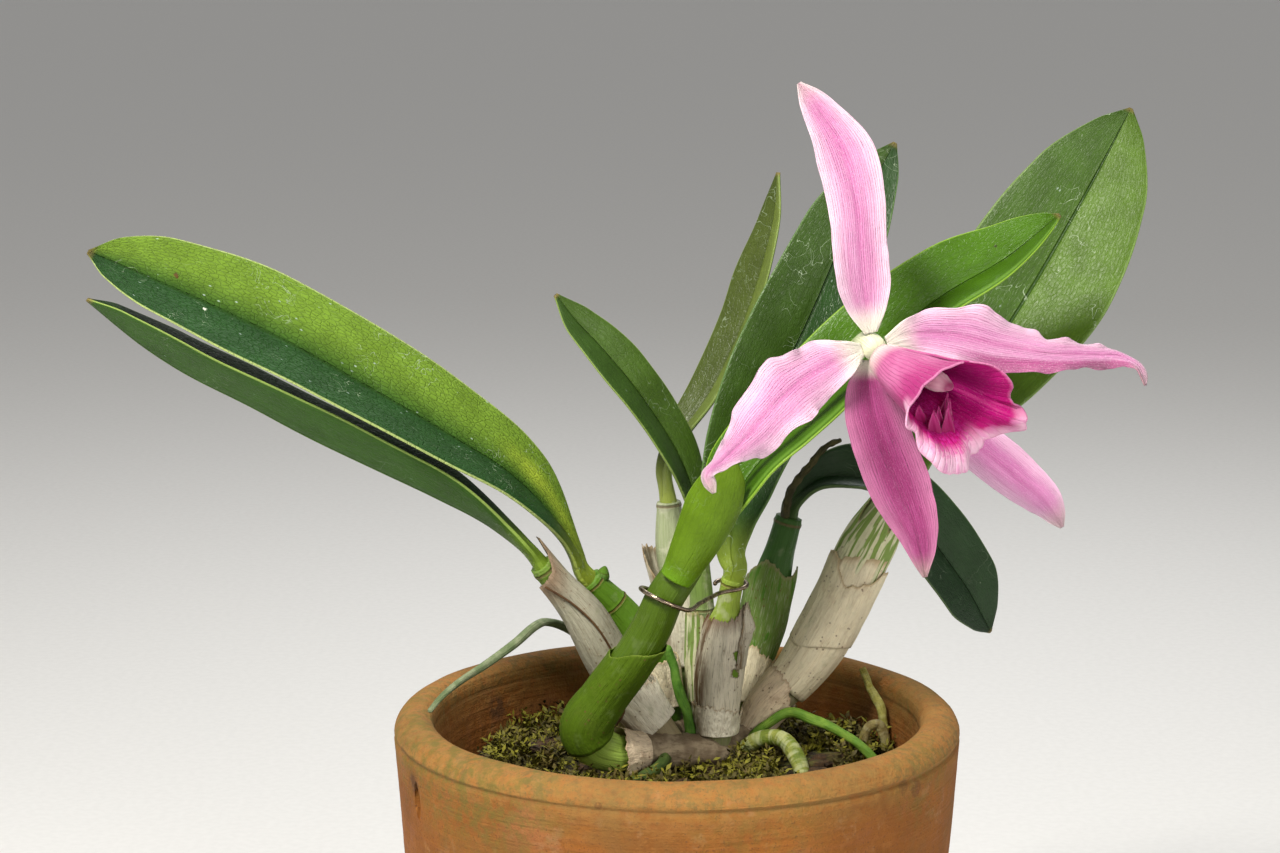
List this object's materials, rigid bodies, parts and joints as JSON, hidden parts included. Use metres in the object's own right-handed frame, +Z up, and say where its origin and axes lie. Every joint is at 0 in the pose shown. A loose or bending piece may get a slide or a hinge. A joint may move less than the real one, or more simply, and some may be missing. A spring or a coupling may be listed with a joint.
{
  "type": "potted cattleya orchid",
  "caption": "Cattleya-type orchid in a terracotta pot: strap leaves on swollen stems with papery sheaths, aerial roots, moss, and a pink flower with a frilled magenta lip.",
  "frame": {"origin": "centre of the pot's flat underside", "axes": "+Z up along the pot's axis; +Y from the pictured front of the pot towards its back; +X to the picture's right, the side that the flower leans to"},
  "size_m": [0.2796, 0.15, 0.3064],
  "materials": {
    "bract": "satin",
    "column": "soft satin",
    "dead_flower_stalk": "matte, dry",
    "dorsal_sepal": "soft satin, finely veined",
    "lateral_sepal_left": "soft satin, finely veined",
    "lateral_sepal_right": "soft satin, finely veined",
    "leaf_centre_back": "satin, thick and waxy",
    "leaf_front": "satin, thick and waxy",
    "leaf_left_back": "satin, thick and waxy",
    "leaf_left_front": "satin, thick and waxy",
    "leaf_middle": "satin, thick and waxy",
    "leaf_rear": "satin, thick and waxy",
    "leaf_rear_right": "satin, thick and waxy",
    "leaf_right": "satin, thick and waxy",
    "lip": "soft satin",
    "peduncle": "satin",
    "petal_left": "soft satin, finely veined",
    "petal_right": "soft satin, finely veined",
    "pot": "matte, weathered, with algae and mineral stains",
    "potting_mix": "matte moss over bark",
    "pseudobulb_centre_back": "satin, finely furrowed",
    "pseudobulb_front": "satin, finely furrowed",
    "pseudobulb_left_back": "satin, finely furrowed",
    "pseudobulb_left_front": "satin, finely furrowed",
    "pseudobulb_middle": "satin, finely furrowed",
    "pseudobulb_rear": "satin, finely furrowed",
    "pseudobulb_rear_right": "satin, finely furrowed",
    "pseudobulb_right": "satin, finely furrowed",
    "rhizome": "matte, with papery remains",
    "root_curled": "matte",
    "root_front": "matte",
    "root_green": "matte",
    "root_left_aerial": "matte",
    "root_middle": "matte",
    "root_ringed": "matte",
    "root_yellow": "matte",
    "sheath_left_front": "matte, dry and fibrous",
    "sheath_middle": "matte, dry and fibrous",
    "sheath_rear": "matte, dry and fibrous",
    "sheath_rear_right": "matte, dry and fibrous",
    "sheath_right": "matte, dry and fibrous",
    "wire_clip": "dull bronze-coloured wire"
  },
  "bodies": {
    "root": {"bract": "bract", "column": "column", "dead_flower_stalk": "dead_flower_stalk", "dorsal_sepal": "dorsal_sepal", "lateral_sepal_left": "lateral_sepal_left", "lateral_sepal_right": "lateral_sepal_right", "leaf_centre_back": "leaf_centre_back", "leaf_front": "leaf_front", "leaf_left_back": "leaf_left_back", "leaf_left_front": "leaf_left_front", "leaf_middle": "leaf_middle", "leaf_rear": "leaf_rear", "leaf_rear_right": "leaf_rear_right", "leaf_right": "leaf_right", "lip": "lip", "peduncle": "peduncle", "petal_left": "petal_left", "petal_right": "petal_right", "pot": "pot", "potting_mix": "potting_mix", "pseudobulb_centre_back": "pseudobulb_centre_back", "pseudobulb_front": "pseudobulb_front", "pseudobulb_left_back": "pseudobulb_left_back", "pseudobulb_left_front": "pseudobulb_left_front", "pseudobulb_middle": "pseudobulb_middle", "pseudobulb_rear": "pseudobulb_rear", "pseudobulb_rear_right": "pseudobulb_rear_right", "pseudobulb_right": "pseudobulb_right", "rhizome": "rhizome", "root_curled": "root_curled", "root_front": "root_front", "root_green": "root_green", "root_left_aerial": "root_left_aerial", "root_middle": "root_middle", "root_ringed": "root_ringed", "root_yellow": "root_yellow", "sheath_left_front": "sheath_left_front", "sheath_middle": "sheath_middle", "sheath_rear": "sheath_rear", "sheath_rear_right": "sheath_rear_right", "sheath_right": "sheath_right", "wire_clip": "wire_clip"}
  },
  "joints": []
}
